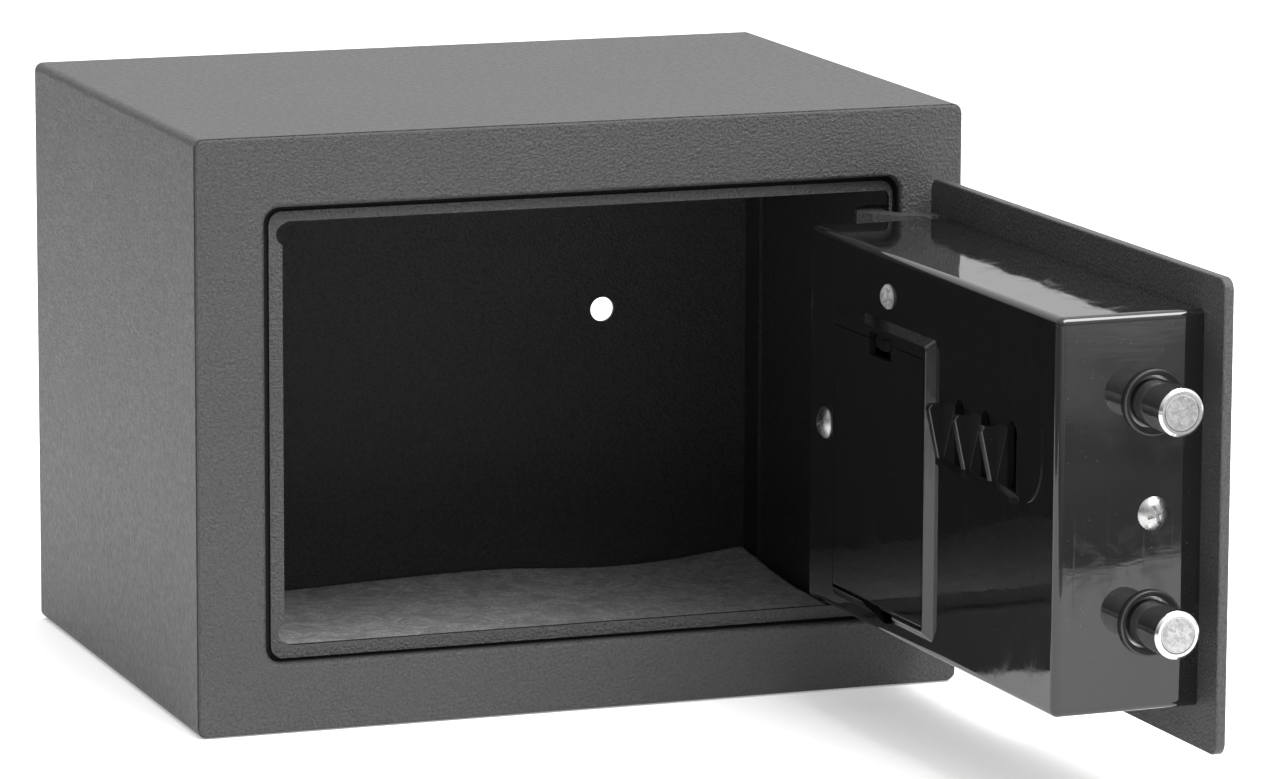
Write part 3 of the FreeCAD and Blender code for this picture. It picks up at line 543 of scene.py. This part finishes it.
def key_marks():
    """A digit or a plain sign on each key."""
    ink = paint_mark("key_ink", 0.015)
    signs = {str(n): str(n) for n in range(10)}
    signs.update(clear="*", enter="#")
    facing = Matrix((ALONG, UP, OUTWARD)).transposed()
    for name, sign in signs.items():
        low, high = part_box("key_" + name)
        curve = bpy.data.curves.new("mark_" + name, "FONT")
        curve.body = sign
        curve.size = 7.5 * MM if sign != "*" else 9 * MM
        curve.align_x, curve.align_y = "CENTER", "CENTER"
        curve.extrude = 0.04 * MM
        curve.resolution_u = 6
        holder = bpy.data.objects.new("holder", curve)
        bpy.context.scene.collection.objects.link(holder)
        bpy.context.view_layer.update()
        mesh = bpy.data.meshes.new_from_object(holder)
        bpy.data.objects.remove(holder)
        centre = (low + high) / 2
        front = max(low.dot(OUTWARD), high.dot(OUTWARD))
        seat = centre + OUTWARD * (front - centre.dot(OUTWARD) + 0.01 * MM)
        place = facing.to_4x4()
        place.translation = seat
        mesh.transform(place)
        mesh.name = "mark_" + name
        mesh_piece("mark_" + name, mesh, ink, "button_" + name)


# ---- stage -------------------------------------------------------------------------------------
def lit_paper(name, level, glow):
    """Paper that is lit a little from below, as on a light table."""
    s = Surface(name, 0.9)
    s.colour(grey(level))
    s.shader.inputs["Emission Color"].default_value = (1, 1, 1, 1)
    s.shader.inputs["Emission Strength"].default_value = glow
    return s.material


def plane(name, centre, across, up, material):
    """A rectangle given by its centre and two half edges."""
    mesh = bpy.data.meshes.new(name)
    corners = [centre - across - up, centre + across - up, centre + across + up,
               centre - across + up]
    mesh.from_pydata([tuple(c) for c in corners], [], [(0, 1, 2, 3)])
    made = bpy.data.objects.new(name, mesh)
    made.data.materials.append(material)
    bpy.context.scene.collection.objects.link(made)
    return made


def area_light(name, place, aim, size, watts):
    light = bpy.data.lights.new(name, "AREA")
    light.shape = "RECTANGLE"
    light.size, light.size_y = size
    light.energy = watts
    made = bpy.data.objects.new(name, light)
    made.location = place
    made.rotation_mode = "QUATERNION"
    made.rotation_quaternion = (Vector(aim) - Vector(place)).to_track_quat("-Z", "Y")
    bpy.context.scene.collection.objects.link(made)
    return made


def sky():
    """Soft white surround: brightest overhead, dimmer towards the horizon and towards the left."""
    world = bpy.data.worlds.new("surround")
    bpy.context.scene.world = world
    world.use_nodes = True
    tree = world.node_tree
    ground = tree.nodes["Background"]
    ground.inputs["Color"].default_value = (1, 1, 1, 1)
    place = tree.nodes.new("ShaderNodeTexCoord")
    split = tree.nodes.new("ShaderNodeSeparateXYZ")
    tree.links.new(place.outputs["Generated"], split.inputs["Vector"])
    total = None
    for axis, share in (("Z", SKY_RISE), ("X", SKY_LEAN)):
        step = tree.nodes.new("ShaderNodeMath")
        step.operation = "MULTIPLY_ADD"
        tree.links.new(split.outputs[axis], step.inputs[0])
        step.inputs[1].default_value = share
        step.inputs[2].default_value = SKY_LEVEL
        if total:
            tree.links.new(total, step.inputs[2])
        total = step.outputs["Value"]
    least = tree.nodes.new("ShaderNodeMath")
    least.operation = "MAXIMUM"
    tree.links.new(total, least.inputs[0])
    least.inputs[1].default_value = SKY_LEAST
    tree.links.new(least.outputs["Value"], ground.inputs["Strength"])


def far_floor(name, x0, x1, y0, y1, near, far):
    """Dimmer far part of the floor, seen in reflections only; near and far are its glow."""
    s = Surface(name, 0.9)
    split = s.add("SeparateXYZ")
    s.link(s.place, split.inputs["Vector"])
    s.colour(grey(0.0))
    s.shader.inputs["Emission Color"].default_value = (1, 1, 1, 1)
    glow = s.spread(split.outputs["Y"], TABLE_Y - 0.50, TABLE_Y - 0.10, far, near)
    clutter = s.noise(CLUTTER, 2.0, 0.6)
    s.link(s.maths("MULTIPLY", glow, s.spread(clutter, 0.35, 0.65, 0.55, 1.45)),
           s.shader.inputs["Emission Strength"])
    centre = Vector(((x0 + x1) / 2, (y0 + y1) / 2, FAR_RISE))
    card = plane(name, centre, Vector(((x1 - x0) / 2, 0, 0)), Vector((0, (y1 - y0) / 2, 0)),
                 s.material)
    card.visible_camera = False
    card.visible_diffuse = False
    card.visible_shadow = False


def studio():
    """Pale floor, lit from overhead and from the front right, in a white surround."""
    plane("floor", Vector((0, 0, -0.2 * MM)), Vector((FLOOR_HALF, 0, 0)),
          Vector((0, FLOOR_HALF, 0)), lit_paper("floor_paper", FLOOR_GREY, FLOOR_GLOW))
    sky()
    far_floor("far_front", -FAR_REACH, FAR_REACH, -FAR_REACH, TABLE_Y, EDGE_GLOW, FAR_GLOW)
    far_floor("far_left", -FAR_REACH, TABLE_X, TABLE_Y, FAR_REACH, EDGE_GLOW, EDGE_GLOW)
    area_light("key", KEY_PLACE, KEY_AIM, KEY_SIZE, KEY_WATTS)


def camera():
    data = bpy.data.cameras.new("camera")
    data.lens = LENS
    data.sensor_width = 36.0
    data.clip_start, data.clip_end = 0.05, 60.0
    made = bpy.data.objects.new("camera", data)
    azimuth, elevation = math.radians(VIEW_AZIMUTH), math.radians(VIEW_ELEVATION)
    forward = Vector((math.sin(azimuth) * math.cos(elevation),
                      math.cos(azimuth) * math.cos(elevation), -math.sin(elevation)))
    made.location = AIM - forward * VIEW_DISTANCE
    made.rotation_mode = "QUATERNION"
    level = forward.to_track_quat("-Z", "Y")
    made.rotation_quaternion = level @ Quaternion((0, 0, 1), math.radians(VIEW_ROLL))
    bpy.context.scene.collection.objects.link(made)
    bpy.context.scene.camera = made


camera()
bpy.context.scene.view_settings.view_transform = "Standard"
dress_nodes()
felt_sheet()
felt_fuzz()
key_marks()
studio()
